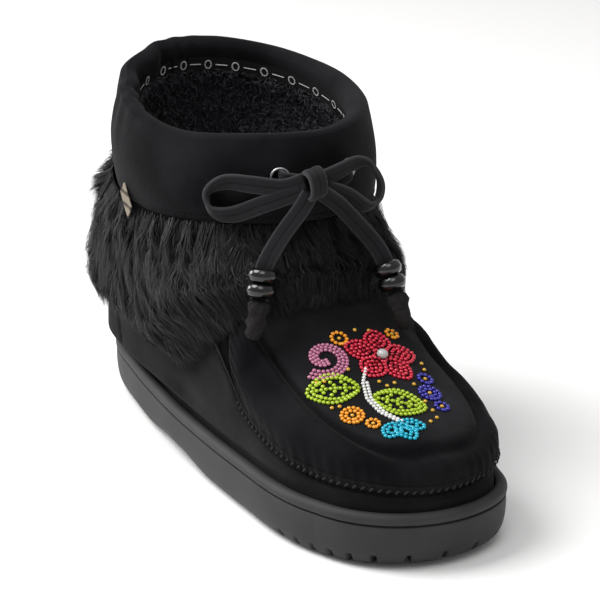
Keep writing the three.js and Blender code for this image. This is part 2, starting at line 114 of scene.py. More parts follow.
def outline(u, inset=0.0):
    """The sole's outline, from the heel along the outer side to the toe and back; u runs from 0 to 1."""

    def edge(u):
        turn = 2 * np.pi * (u % 1)
        along = along_boot(u)
        lateral = table_at(SOLE_ALONG, SOLE_LATERAL, along)
        medial = table_at(SOLE_ALONG, SOLE_MEDIAL, along)
        return (along - 0.5) * SOLE_LENGTH, -np.sin(turn) * np.where(turn <= np.pi, lateral, medial)

    x, y = edge(u)
    (ax, ay), (bx, by) = edge(u + 0.004), edge(u - 0.004)
    tx, ty = ax - bx, ay - by
    size = np.hypot(tx, ty)
    return x - ty / size * inset, y + tx / size * inset


sole_low, sole_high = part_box("outsole")
widest = -min(outline(np.linspace(0, 0.5, 25))[1])
ORIGIN = np.array([(sole_low.x + sole_high.x) / 2, sole_low.y + widest / 1000, 0])


def in_metres(x, y, z):
    return np.stack(np.broadcast_arrays(x, y, z), -1) / 1000 + ORIGIN


def loft(name, columns, rows, place, closed=True, ends=False, inward=False):
    """A sheet of quads laid on place(u, v), joined into a tube along u, with filled ends where asked."""
    bm = bmesh.new()
    bmesh.ops.create_grid(bm, x_segments=columns, y_segments=rows, size=0.5)
    flat = np.array([vert.co for vert in bm.verts])
    for vert, co in zip(bm.verts, place(flat[:, 0] + 0.5, flat[:, 1] + 0.5)):
        vert.co = co
    if closed:
        bmesh.ops.remove_doubles(bm, verts=bm.verts, dist=1e-6)
    if ends:
        bmesh.ops.holes_fill(bm, edges=[edge for edge in bm.edges if edge.is_boundary])
    if inward:
        bmesh.ops.reverse_faces(bm, faces=bm.faces)
    return finish_mesh(name, bm)


def finish_mesh(name, bm):
    """Turns a finished bmesh into a smooth object."""
    mesh = bpy.data.meshes.new(name)
    bm.to_mesh(mesh)
    bm.free()
    mesh.shade_smooth()
    made = bpy.data.objects.new(name, mesh)
    bpy.context.collection.objects.link(made)
    return made


HEEL_SPRING, HEEL_FROM = 2, -112
ARCH_RISE, ARCH_FROM, ARCH_TO, ARCH_FADE = 2.5, -62, 14, 30
TOE_SPRING, LIP_SPRING, TOE_FROM = 2.4, 0.4, 85


def toe_rise(x):
    """How much of the toe's spring a place along the sole has."""
    return np.clip((x - TOE_FROM) / (SOLE_LENGTH / 2 - TOE_FROM), 0, 1) ** 2


def underside(x):
    """The height of the underside, which bends up at the heel, under the arch and at the toe."""
    heel = HEEL_SPRING * np.clip((HEEL_FROM - x) / (SOLE_LENGTH / 2 + HEEL_FROM), 0, 1) ** 2
    arch = ARCH_RISE * ease((x - ARCH_FROM) / ARCH_FADE) * ease((ARCH_TO - x) / ARCH_FADE)
    return heel + arch + TOE_SPRING * toe_rise(x)


def toe_lift(x):
    return LIP_SPRING * toe_rise(x)


# inset from the outline, height, and how much of the underside's bends (the rest follows the lip)
SOLE_SECTION = [
    (60, 0, 1),
    (30, 0, 1),
    (9, 0, 1),
    (7.2, 0.05, 1),
    (5.2, 0.6, 1),
    (3.2, 2.0, 0.95),
    (1.5, 4.8, 0.85),
    (0.5, 8.8, 0.6),
    (0.1, 13.5, 0.3),
    (0.1, 17.7, 0.1),
    (0.25, 18.7, 0),
    (1.1, 19.05, 0),
    (1.2, 19.4, 0),
    (0.25, 19.8, 0),
    (-0.2, 20.5, 0),
    (-0.3, 21.3, 0),
    (-0.1, 22.4, 0),
    (0.9, 23.6, 0),
    (2.3, 24.1, 0),
    (3.8, 23.7, 0),
    (4.6, 22.6, 0),
    (LIP_WIDTH, 18, 0),
    (LIP_WIDTH, PLATFORM, 0),
    (30, PLATFORM, 0),
]
# the notches' places along the outline from the tip of the toe, the outer side first
NOTCHES = [-81.7, -71, -62, -52.5, -43, -32.2, -17.3, -1.2, 14.5, 29.5, 41, 51, 61, 71, 81]
NOTCH_HALF, NOTCH_TALL, NOTCH_TOP, NOTCH_DEEP = 1.35, 3.2, 5.2, 3.0
MIDDLE_INSET = 20  # past this inset the section runs in to the sole's middle line
ROUND_U = np.linspace(0, 1, 2001)
ROUND_WAY = way_along(np.stack(outline(ROUND_U), -1))
ROUND_WAY -= np.interp(0.5, ROUND_U, ROUND_WAY)


def sole_place(u, v):
    at = v * (len(SOLE_SECTION) - 1)
    inset, height, bends = (curve_at(column, at) for column in zip(*SOLE_SECTION))
    edge_inset = np.clip(inset, -0.5, MIDDLE_INSET)
    x, y = outline(u, edge_inset)
    y = y * (1 - np.clip((inset - MIDDLE_INSET) / (SOLE_SECTION[0][0] - MIDDLE_INSET), 0, 1))
    z = height + bends * underside(x) + (1 - bends) * toe_lift(x)
    way = np.interp(u % 1, ROUND_U, ROUND_WAY)
    near = np.abs(way[..., None] - NOTCHES).min(-1)
    cut = ease((NOTCH_HALF - near) / 0.5) * ease((NOTCH_TOP - height) / 1.2)
    z = z + cut * np.maximum(0, underside(x) + NOTCH_TALL - z) * (height < NOTCH_TALL)
    deep_x, deep_y = outline(u, edge_inset + NOTCH_DEEP * cut)
    y = np.where(inset < MIDDLE_INSET, y + (deep_y - y) * (cut > 0), y)
    return in_metres(np.where(inset < MIDDLE_INSET, deep_x, x), y, z)


def shader(name, colour, roughness, specular=0.5):
    """A material with one principled shader; returns it with its node tree and shader node."""
    made = bpy.data.materials.new(name)
    made.use_nodes = True
    node = made.node_tree.nodes["Principled BSDF"]
    node.inputs["Base Color"].default_value = (*colour, 1)
    node.inputs["Roughness"].default_value = roughness
    node.inputs["Specular IOR Level"].default_value = specular
    return made, made.node_tree, node


def noise(tree, scale, detail):
    """A noise texture over the object's own coordinates."""
    where = tree.nodes.new("ShaderNodeTexCoord")
    made = tree.nodes.new("ShaderNodeTexNoise")
    made.inputs["Scale"].default_value = scale
    made.inputs["Detail"].default_value = detail
    tree.links.new(where.outputs["Object"], made.inputs["Vector"])
    return made.outputs["Fac"]


def bumped(tree, node, heights):
    """Chains bump maps, each a (height socket, strength, distance in metres), onto a shader."""
    under = None
    for height, strength, distance in heights:
        made = tree.nodes.new("ShaderNodeBump")
        made.inputs["Strength"].default_value = strength
        made.inputs["Distance"].default_value = distance
        tree.links.new(height, made.inputs["Height"])
        if under:
            tree.links.new(under, made.inputs["Normal"])
        under = made.outputs["Normal"]
    tree.links.new(under, node.inputs["Normal"])


def painted(tree, name):
    """The value painted on a mesh's points under a name."""
    made = tree.nodes.new("ShaderNodeAttribute")
    made.attribute_name = name
    return made.outputs["Fac"]


def paint(piece, name, values):
    """Writes one value on each point of a piece's mesh."""
    piece.data.attributes.new(name, "FLOAT", "POINT").data.foreach_set("value", values)


def ramped(tree, value, stops, socket):
    """Colours a socket by a value through a ramp of (position, colour) stops."""
    ramp = tree.nodes.new("ShaderNodeValToRGB")
    while len(ramp.color_ramp.elements) < len(stops):
        ramp.color_ramp.elements.new(0.5)
    for element, (position, colour) in zip(ramp.color_ramp.elements, stops):
        element.position = position
        element.color = (*colour, 1)
    tree.links.new(value, ramp.inputs["Fac"])
    tree.links.new(ramp.outputs["Color"], socket)


SOLE_CROWD = 0.07  # how far the columns crowd together at the toe and heel
RUBBER, RUBBER_DARK, RUBBER_PALE = (0.027, 0.027, 0.0275), (0.0235, 0.0235, 0.024), (0.034, 0.034, 0.0345)
outsole = loft(
    "outsole_rubber",
    600,
    92,
    lambda u, v: sole_place(u + SOLE_CROWD * np.sin(2 * np.pi * u), v),
)
rubber, tree, node = shader("rubber", RUBBER, 0.62, 0.25)
ramped(tree, noise(tree, 45, 4), [(0.3, RUBBER_DARK), (0.7, RUBBER_PALE)], node.inputs["Base Color"])
bumped(tree, node, [(noise(tree, 900, 2), 0.25, 0.0003), (noise(tree, 60, 2), 0.15, 0.001)])
outsole.data.materials.append(rubber)
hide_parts("outsole")
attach(outsole, "root")

# Upper
# Black suede sewn moccasin fashion: a side wall, a puffed roll drawn over it along a stitched seam, and
# an oval plug on top of the foot. It is lasted over the footbed and cemented inside the lip.
WALL = 3.2
TUCK = LIP_WIDTH + 0.35  # how far inside the sole's outline the upper stands
# back point's x and z, front point's x and z, half width of an oval section, share of the sole's outline kept
UPPER_SECTIONS = [
    (-134.95, 14.05, 134.95, 14.05, 46, 1),
    (-134.95, 24.5, 134.5, 24.5, 46, 1),
    (-134.5, 34, 132.5, 27.5, 46, 1),
    (-133.5, 44, 131.5, 30.5, 46, 0.97),
    (-132, 54, 130, 37, 46, 0.93),
    (-130, 63, 121, 44, 46, 0.86),
    (-127, 72, 99, 51.5, 46, 0.68),
    (-124, 82, 72, 62, 46, 0.46),
    (-120, 92, 46, 73.5, 46, 0.3),
    (-116, 102, 31, 87, 47, 0.15),
    (-113, 112, 25, 104, 49, 0.03),
    (-110.5, 137, 23, 127, 50.5, 0),
    (-106.6, 161, 20, 144.2, 48, 0),
]
TOP_LEVEL = len(UPPER_SECTIONS) - 1
SEAM_X = [10, 30, 45, 72, 98, 120, 140]
SEAM_Z = [92, 63, 47.6, 39.6, 34.8, 33, 30.3]
PLUG_CENTRE, PLUG_LENGTH, PLUG_LATERAL, PLUG_MEDIAL = 35, 90, 32.5, 39
RIM_RISE, RIM_DIP = 3, 6  # the rim rises at the front and dips on the outer side
RIM_FRONT, RIM_LEVEL = 0.7, 10.3  # where along the boot, and from which level, that begins


def section_point(u, level):
    """A point of the upper's plain form: u runs round it as in the outline, level up its sections."""
    columns = (curve_at(column, level) for column in zip(*UPPER_SECTIONS))
    heel_x, heel_z, toe_x, toe_z, half, foot = columns
    foot = np.clip(foot, 0, 1)
    turn = 2 * np.pi * (u % 1)
    sole_x, sole_y = outline(u, TUCK)
    sole_share = 0.5 + sole_x / (SOLE_LENGTH - 2 * TUCK)
    along = along_boot(u)
    share = along * (1 - foot) + sole_share * foot
    x = heel_x + (toe_x - heel_x) * share
    z = heel_z + (toe_z - heel_z) * share + toe_lift(x) * foot
    rise = RIM_RISE * ease((along - RIM_FRONT) / 0.3)
    dip = RIM_DIP * np.clip(np.sin(turn), 0, 1) ** 2
    z = z + (rise - dip) * ease((level - RIM_LEVEL) / 1.7)
    return np.stack([x, -np.sin(turn) * half * (1 - foot) + sole_y * foot, z], -1)


def section_normal(u, level):
    higher, lower = np.minimum(TOP_LEVEL, level + 0.05), np.maximum(0, level - 0.05)
    up = section_point(u, higher) - section_point(u, lower)
    return unit(np.cross(section_point(u + 0.01, level) - section_point(u - 0.01, level), up))


def seam_distance(x, z):
    """How far a point of the toe lies above the moccasin seam."""
    line = table_at(SEAM_X, SEAM_Z, x)
    slope = (table_at(SEAM_X, SEAM_Z, x + 2) - line) / 2
    return (z - line) / np.hypot(1, slope)


def plug_distance(x, y):
    """How far a point lies outside the plug's rounded edge, seen from above."""
    half = np.where(y < 0, PLUG_LATERAL, PLUG_MEDIAL)
    reach = (np.abs((x - PLUG_CENTRE) / PLUG_LENGTH) ** 3 + np.abs(y / half) ** 3) ** (1 / 3)
    return (reach - 1) * half


SWELL_X = [-140, -118, -80, -25, 60, 140]
SWELL_OUT = [4, 8.5, 8.5, 4.5, 3, 2.2]
SWELL_FROM, SWELL_TOP, SWELL_TOE_DROP, SWELL_FADE = 25, 46, 12, 26
SWELL_LESS = 0.4  # the share lost on the inner side


def swell(point):
    """The side wall swells out over the lip of the sole, most at the heel, and less on the inner side."""
    x, y, z = point[..., 0], point[..., 1], point[..., 2]
    share = 1 - SWELL_LESS * ease(y / 30 + 0.5)
    fades = 1 - ease((z - SWELL_TOP + SWELL_TOE_DROP * ease((x + 60) / 100)) / SWELL_FADE)
    begins = ease((z - SWELL_FROM - toe_lift(x)) / 6)
    return table_at(SWELL_X, SWELL_OUT, x) * share * begins * fades


LAP, PINCH, ROLL, PUCKER, PUCKERS = 1.3, 1.7, 2.5, 0.22, 95  # along the moccasin seam
GROOVE, RIDGE, PLUMP = 2.6, 1.2, 0.7  # round the plug, and over it
COUNTER_SEAM, COUNTER_X, COUNTER_LEAN = 1.7, -80, 0.4


def relief(u, point):
    """What the sewing adds to the plain form: lap, pinch and roll at the seam, and the plug's groove."""
    x, y, z = point[..., 0], point[..., 1], point[..., 2]
    above, outside = seam_distance(x, z), plug_distance(x, y)
    front = ease((x - 5) / 25) * np.clip((z - 26.5) / 3, 0, 1)
    lap = LAP * ease((above + 0.2) / 1.0) * ease((14 - above) / 12)
    pinch = PINCH * bump_at(above, -1.0, 1.5)
    roll = ROLL * bump_at(above, 8.5, 4.8)
    pucker = PUCKER * np.sin(2 * np.pi * u * PUCKERS) * bump_at(above, 3.5, 3)
    edges = bump_at(outside, 0, 1.0) * GROOVE - bump_at(outside, 2.6, 1.5) * RIDGE
    groove = edges * np.clip(above / 6, 0, 1)
    plump = PLUMP * ease(-outside / 12) * np.clip(above / 6, 0, 1)
    counter = COUNTER_SEAM * bump_at(x, COUNTER_X - COUNTER_LEAN * (z - 25), 1.0) * (np.abs(y) > 10)
    return front * (lap + roll + pucker - pinch - groove + plump) - counter


# soft creases pressed into the suede by the foot: middle, spread along x, y and z, depth
CREASES = [
    ((58, -38, 52), (10, 4, 14), 0.9),
    ((47, -42, 50), (6, 4, 13), 0.8),
    ((60, 40, 52), (9, 4, 14), 0.9),
    ((-70, -42, 38), (18, 8, 6), 0.7),
    ((-15, -43, 36), (26, 8, 5), 0.8),
    ((20, -46, 38), (14, 8, 7), -0.7),
]


def boot_point(u, level, lift=0.0, worked=True):
    """The upper's outside, moved out along its own normal by a lift."""
    point = section_point(u, level)
    out = np.asarray(lift, float) + np.where(np.asarray(lift) >= 0, swell(point), 0)
    if worked:
        out = out + relief(u, point)
        for middle, spread, depth in CREASES:
            away = (((point - np.array(middle)) / np.array(spread)) ** 2).sum(-1)
            out = out - depth * np.exp(-away)
    return point + section_normal(u, level) * np.expand_dims(np.broadcast_to(out, point.shape[:-1]), -1)


def boot_metres(u, level, lift=0.0, worked=True):
    return boot_point(u, level, lift, worked) / 1000 + ORIGIN


UPPER_LOW, UPPER_HIGH = 0.5, 10.9
UPPER_CROWD, UPPER_SINK = 0.1, 1.25  # columns crowd at toe and heel, rows towards the sole


def upper_place(u, v):
    level = UPPER_LOW + (UPPER_HIGH - UPPER_LOW) * v**UPPER_SINK
    return boot_metres(u + UPPER_CROWD * np.sin(2 * np.pi * u), level)


upper = loft("upper_suede", 520, 118, upper_place)


def suede_material(name, dark, light):
    """Brushed suede: a fine grain and paler patches, with painted light and shade read from each piece's
    points.
    """
    made, tree, node = shader(name, dark, 0.95, 0.05)
    summed = tree.nodes.new("ShaderNodeMath")
    tree.links.new(noise(tree, 22, 9), summed.inputs[0])
    # painted light and shade, laid on each piece's points, is added to the noise
    tree.links.new(painted(tree, "painted_light_shade"), summed.inputs[1])
    palest = tuple(2 * part for part in light)
    tones = [(0.38, dark), (0.64, light), (0.92, palest)]
    ramped(tree, summed.outputs["Value"], tones, node.inputs["Base Color"])
    node.inputs["Sheen Weight"].default_value = 0.04
    node.inputs["Sheen Roughness"].default_value = 0.4
    bumped(tree, node, [(noise(tree, 1700, 2), 0.6, 0.0004), (noise(tree, 300, 4), 0.3, 0.0007)])
    return made


suede = suede_material("suede", (0.0042, 0.0042, 0.005), (0.0132, 0.0132, 0.0144))
# painted light on the plug and the heel, and painted shade on the roll
PLUG_PAINTED_LIGHT, ROLL_PAINTED_SHADE, HEEL_PAINTED_LIGHT = 0.15, -0.07, 0.09  # how much paler or darker each panel lies


def points_in_mm(piece):
    return (np.array([vert.co for vert in piece.data.vertices]) - ORIGIN) * 1000


x, y, z = points_in_mm(upper).T
above, outside = seam_distance(x, z), plug_distance(x, y)
on_plug = ease(-outside / 3) * ease((above - 4) / 4) * ease((x - 15) / 20)
on_roll = (1 - on_plug) * ease(above / 2) * ease((x - 25) / 20)
# the plug and the heel are painted paler and the roll darker: painted light and shade
paint(upper, "painted_light_shade", PLUG_PAINTED_LIGHT * on_plug + ROLL_PAINTED_SHADE * on_roll + HEEL_PAINTED_LIGHT * ease((-50 - x) / 30))
upper.data.materials.append(suede)
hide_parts("upper")
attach(upper, "root")

# Footbed
# A plate under the foot, covered in the same short black pile as the lining. It lies loose in the cup,
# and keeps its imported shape.
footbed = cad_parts["insole"]
pile, tree, node = shader("pile", (0.03, 0.029, 0.034), 1.0, 0.1)
bumped(tree, node, [(noise(tree, 420, 3), 0.9, 0.0015)])
footbed.data.materials.clear()
footbed.data.materials.append(pile)

# Lining
# Black pile cloth sewn inside the upper, from the footbed up to the collar's binding. This is its
# ground; the curls on it come further down.
LINING_LOW, LINING_TALL, PILE_DEPTH = 0.5, 11.2, 1.6


def tufted(u, level):
    """The pile's uneven surface."""
    wave = 0.9 * np.sin(u * 2 * np.pi * 61 + 3 * np.sin(level * 5)) * np.sin(level * 17 + 2 * np.sin(u * 180))
    return wave + 0.6 * np.sin(u * 2 * np.pi * 137 + level * 23)


def lining_place(u, v):
    level = LINING_LOW + LINING_TALL * v
    return boot_metres(u, level, -WALL - PILE_DEPTH + tufted(u, level), worked=False)


lining = loft("lining_pile", 260, 70, lining_place, inward=True)
lining.data.materials.append(pile)
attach(lining, "root")

# Collar
# A padded band of the same suede round the top, turned over the rim and bound inside, with a row of
# stitching along its lower edge where the fur is caught.
EDGE_ALONG = [0, 0.25, 0.5, 0.75, 1]
EDGE_LEVEL = [10.25, 10.12, 10.09, 10.22, 10.4]
DRAWN_IN = 1.9  # the collar is drawn in at the outer back
GATHER_INSIDE, GATHER_OUTSIDE = 1.6, 0.8  # and gathers there along the rim
# share of the way from the collar's lower edge to the rim, lift from the upper, rise above the rim
COLLAR_SECTION = [
    (0.0, 0.4, 0),
    (0.0, 1.6, 0),
    (0.025, 3.2, 0),
    (0.08, 3.9, 0),
    (0.25, 4.5, 0),
    (0.5, 4.7, 0),
    (0.75, 4.4, 0),
    (1.0, 3.9, 0),
    (1.0, 3.2, 2.0),
    (1.0, 1.2, 3.5),
    (1.0, -1.6, 3.8),
    (1.0, -4.4, 2.9),
    (1.0, -5.9, 0.6),
    (0.85, -6.2, 0),
    (0.69, -5.8, 0),
    (0.68, -3.6, 0),
    (0.85, -3.5, 0),
    (1.0, -3.4, 0.4),
    (1.0, 0.4, 0.4),
    (0.75, 0.4, 0),
    (0.4, 0.4, 0),
]


def collar_edge(u):
    """The level of the collar's lower edge."""
    return table_at(EDGE_ALONG, EDGE_LEVEL, along_boot(u))


def collar_place(u, v):
    count = len(COLLAR_SECTION)
    turn = 2 * np.pi * u
    where = (u + 0.5) % 1 - 0.5
    gathers = np.sin(where * 130 + 2.6 * np.sin(where * 31)) * bump_at(where, 0.1, 0.11)
    rings = []
    for share, lift, rise in COLLAR_SECTION:
        level = collar_edge(u) + (TOP_LEVEL - collar_edge(u)) * share
        soft = 0.0
        if lift > 1:
            soft = 0.2 * np.sin(5 * turn + share * 4) + 0.12 * np.sin(11 * turn - share * 7)
            soft = soft - DRAWN_IN * bump_at(where, 0.14, 0.13)
        if share > 0.6:
            soft = soft + gathers * (GATHER_INSIDE if lift < 0 else GATHER_OUTSIDE)
        point = boot_point(u, level, lift + soft, worked=False)
        point[:, 2] += rise * (1 + 0.12 * np.sin(3 * turn + 1))
        rings.append(point)
    rings = np.array(rings)
    at = (v % 1) * count
    i = np.floor(at).astype(int)
    f = (at - i)[:, None]
    which = np.arange(len(u))
    a, b, c, d = (rings[(i + step) % count, which] for step in (-1, 0, 1, 2))
    return between(a, b, c, d, f) / 1000 + ORIGIN


collar = loft("collar_suede", 330, 76, collar_place)
collar_suede = suede_material("collar_suede", (0.0043, 0.0043, 0.0051), (0.0133, 0.0133, 0.015))
collar.data.materials.append(collar_suede)
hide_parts("collar")
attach(collar, "root")

# Fur
# A band of long black fur sewn in under the collar's lower edge. Its hair hangs down over the foot in
# loose locks; the hide it grows on is dark and shows only between them.
FUR_ALONG = [0, 0.1, 0.21, 0.35, 0.5, 0.61, 0.7, 0.79, 0.9, 1]
FUR_LOW = [4.1, 4.1, 4.5, 4.9, 5.1, 6.5, 7.1, 7.6, 8.15, 8.6]
FUR_DOWN = [0, 0.1, 0.35, 0.7, 0.85, 1, 1.2]
FUR_DEPTH = [5.5, 9.5, 12, 15.5, 15, 8, 3.5]
FUR_ROUND, FUR_FALL = 520, 62  # the band's length round the boot, and its height


def fur_low(u):
    """The level of the fur's lower edge."""
    return table_at(FUR_ALONG, FUR_LOW, along_boot(u))


def fur_depth(u, down):
    """How far the fur stands out, less towards the toe."""
    return table_at(FUR_DOWN, FUR_DEPTH, down) * (1 - 0.3 * along_boot(u))


def fur_metres(u, down, share):
    """A point in the fur: how far down the band, and what share of its depth out from the upper."""
    level = collar_edge(u) + 0.05 + (fur_low(u) - collar_edge(u)) * down
    return boot_metres(u, level, 0.6 + fur_depth(u, down) * share, worked=False)


hide = loft("fur_hide", 220, 44, lambda u, v: fur_metres(u, 0.98 - 0.98 * v, 0.5))
fur_black, tree, node = shader("fur", (0.005, 0.005, 0.0056), 0.5, 0.22)
fur_tones = [(0, (0.0016, 0.0016, 0.0019)), (0.6, (0.0054, 0.0055, 0.0062)), (1, (0.0165, 0.0168, 0.0188))]
ramped(tree, painted(tree, "shade"), fur_tones, node.inputs["Base Color"])
hide.data.materials.append(shader("hide", (0.0026, 0.0026, 0.003), 1.0, 0.05)[0])
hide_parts("fur_band")
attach(hide, "root")

LOCKS = 1500
random = np.random.default_rng(11)
lock_u, lock_down = random.random(LOCKS), random.random(LOCKS) * 1.05
lock_sway = random.normal(0, 11, LOCKS) / FUR_ROUND
lock_tone = random.uniform(0.6, 1.35, LOCKS)
lock_reach = random.uniform(0.6, 1.45, LOCKS)
lock_lift = random.uniform(0.6, 1.25, LOCKS)
locks = KDTree(LOCKS)
for number, (u, down) in enumerate(zip(lock_u, lock_down)):
    locks.insert((u * FUR_ROUND, down * FUR_FALL, 0), number)
locks.balance()


def strewn(name, points, faces, material):
    """Many small separate shapes as one smooth mesh."""
    mesh = bpy.data.meshes.new(name)
    mesh.from_pydata(points.reshape(-1, 3), [], faces)
    mesh.shade_smooth()
    made = bpy.data.objects.new(name, mesh)
    bpy.context.collection.objects.link(made)
    made.data.materials.append(material)
    return made


def hairs(name, along, side, tone, tip_tone, material):
    """Each hair is a ribbon through a root, a middle and a tip, as wide as its side vector says."""
    root, middle, tip = along
    points = np.stack([root - side, root + side, middle - side * 0.8, middle + side * 0.8, tip], 1)
    first = np.arange(len(tip))[:, None] * 5
    faces = (first + [0, 1, 3, 2]).tolist() + (first + [2, 3, 4]).tolist()
    made = strewn(name, points, faces, material)
    shades = tone[:, None] * np.array([0.3, 0.3, 0.8, 0.8, tip_tone])
    paint(made, "shade", np.clip(shades, 0, 1).ravel())
    return made


HAIR_SHORT, HAIR_LONG = 12, 28
HAIR_FINE, HAIR_BROAD = 0.1, 0.22  # half the width at the root
HAIR_STRAY, HAIR_LEAN = 3.2, 13  # how far a tip strays by itself, and at most with its lock
LABEL_U, LABEL_HALF = 0.25, 0.01  # no hair grows over the label
PUFF_U, PUFF_SPREAD, PUFF_FALL = 0.06, 0.13, 0.22  # hair stands out at the top of the back
# painted shade under the collar's edge reaches this far down the fur
SHADED_FALL = 0.18  # hair is darker this far down from the collar


def grow_fur(name, first_u, last_u, count):
    """One stretch of the band's hair, as ribbons that taper to a point."""
    u = random.uniform(first_u, last_u, count)
    down = random.random(count) ** 0.9 * 0.93
    down = np.where((np.abs(u - LABEL_U) < LABEL_HALF) & (down < 0.06), down + 0.06, down)
    own = np.array([locks.find((a * FUR_ROUND, b * FUR_FALL, 0))[1] for a, b in zip(u, down)])
    reach = random.uniform(HAIR_SHORT, HAIR_LONG, count) / FUR_FALL * lock_reach[own]
    puff = np.clip(1 - down / PUFF_FALL, 0, 1) * bump_at((u + 0.5) % 1 - 0.5, PUFF_U, PUFF_SPREAD)
    tip_down = np.minimum(down + reach * (1 - 1.05 * puff), 1.02 + 0.2 * random.random(count) ** 2)
    hold = random.uniform(0.15, 0.7, count)
    own_u = u + random.normal(0, HAIR_STRAY, count) / FUR_ROUND
    tip_u = own_u * (1 - hold) + (lock_u[own] + lock_sway[own]) * hold
    tip_u = u + np.clip(tip_u - u, -HAIR_LEAN / FUR_ROUND, HAIR_LEAN / FUR_ROUND)
    start = random.uniform(0.1, 0.75, count)
    finish = np.clip(random.uniform(0.7, 1.15, count) * lock_lift[own], 0.5, 1.3) + 0.75 * puff
    width = random.uniform(HAIR_FINE, HAIR_BROAD, count) / 1000
    along = []
    for share in (0, 0.5, 1):
        at_u = u + (tip_u - u) * share**1.4
        at_down = down + (tip_down - down) * share
        out = start + (finish - start) * math.sin(share * math.pi / 2)
        along.append(fur_metres(at_u, at_down, out + 0.08 * math.sin(share * math.pi)))
    side = unit(fur_metres(u + 0.002, down, 0.5) - fur_metres(u - 0.002, down, 0.5))
    side = side + random.normal(0, 0.35, side.shape)
    # painted shade: the hair is darker just under the collar's edge
    shaded = 0.5 + 0.5 * ease(down / SHADED_FALL)
    tone = np.clip(random.normal(0.42, 0.2, count), 0, 1) * lock_tone[own] * shaded
    made = hairs(name, along, side * width[:, None], tone, 1.25, fur_black)
    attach(made, "root")


grow_fur("fur_outer_back", 0.0, 0.25, 40000)
grow_fur("fur_outer_front", 0.25, 0.5, 46000)
grow_fur("fur_inner_front", 0.5, 0.75, 30000)
grow_fur("fur_inner_back", 0.75, 1.0, 22000)

# Eyelets
# Two bright metal rings, pressed through the front of the collar, for the tie to come out of. A black
# disc in each stands in for the dark of the hole: painted shade.
EYELET_RING, EYELET_WIRE = 3.7, 0.62
EYELET_TURN, EYELET_TILT = 0.37, 0.17  # each faces outwards and up a little, with the collar
EYELET_HOLE = [(0, 0), (3.3, 0), (3.4, -0.8)]


def turned(name, profile, centre, axis, steps=40):
    """A piece turned on an axis through a point in metres; the profile is (radius, way along it) in mm."""
    axis = Vector(axis).normalized()
    across = axis.orthogonal().normalized()
    bm = bmesh.new()
    verts = [bm.verts.new(Vector(centre) + across * (r / 1000) + axis * (a / 1000)) for r, a in profile]
    edges = [bm.edges.new(pair) for pair in zip(verts, verts[1:])]
    whole = 2 * math.pi
    bmesh.ops.spin(bm, geom=verts + edges, cent=centre, axis=axis, angle=whole, steps=steps, use_merge=True)
    bmesh.ops.remove_doubles(bm, verts=bm.verts, dist=1e-6)
    bmesh.ops.recalc_face_normals(bm, faces=bm.faces)
    return finish_mesh(name, bm)


metal, _, node = shader("eyelet_metal", (0.36, 0.36, 0.37), 0.32)
node.inputs["Metallic"].default_value = 1
# a black disc in each ring, painted shade for the hole
hole_painted_shade = shader("eyelet_hole", (0.002, 0.002, 0.002), 1.0, 0.05)[0]
circle = [math.radians(a) for a in range(0, 361, 30)]
ring_profile = [(EYELET_RING + EYELET_WIRE * math.cos(a), EYELET_WIRE * math.sin(a)) for a in circle]
for side, word in ((-1, "lateral"), (1, "medial")):
    low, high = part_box(f"eyelet_{word}")
    centre = (low + high) / 2
    axis = Vector((math.cos(EYELET_TURN), side * math.sin(EYELET_TURN), EYELET_TILT)).normalized()
    eyelet = turned(f"eyelet_ring_{word}", ring_profile, centre, axis)
    eyelet.data.materials.append(metal)
    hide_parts(f"eyelet_{word}")
    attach(eyelet, "root")
    hole = turned(f"eyelet_hole_{word}", EYELET_HOLE, centre - axis * 0.0008, axis)
    hole.data.materials.append(hole_painted_shade)
    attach(hole, "root")

# Tie
# A flat strip of suede, folded lengthwise so that a line runs down its middle. It comes out of the two
# eyelets and is tied in a bow; each end carries two beads and a rolled tip.
LACE_WIDTH, LACE_THICK = 7.4, 2.2
LACE_SQUARE = 0.55  # how square the strip's section is: 1 is an oval
FOLD_DEPTH, FOLD_HALF = 0.35, 0.7
lace_suede, tree, node = shader("lace_suede", (0.01, 0.01, 0.011), 0.92, 0.15)
# the strip's own tone, painted darker along its middle fold as painted shade, and paler at its edges as a
# painted highlight
lace_tones_and_painted_light = [
    (0, (0.0045, 0.0043, 0.005)),
    (0.16, (0.0125, 0.012, 0.0136)),
    (0.7, (0.012, 0.0115, 0.013)),
    (0.95, (0.032, 0.031, 0.034)),
]
ramped(tree, painted(tree, "edge"), lace_tones_and_painted_light, node.inputs["Base Color"])
node.inputs["Sheen Weight"].default_value = 0.08
bumped(tree, node, [(noise(tree, 1500, 2), 0.6, 0.0004), (noise(tree, 260, 4), 0.3, 0.0006)])


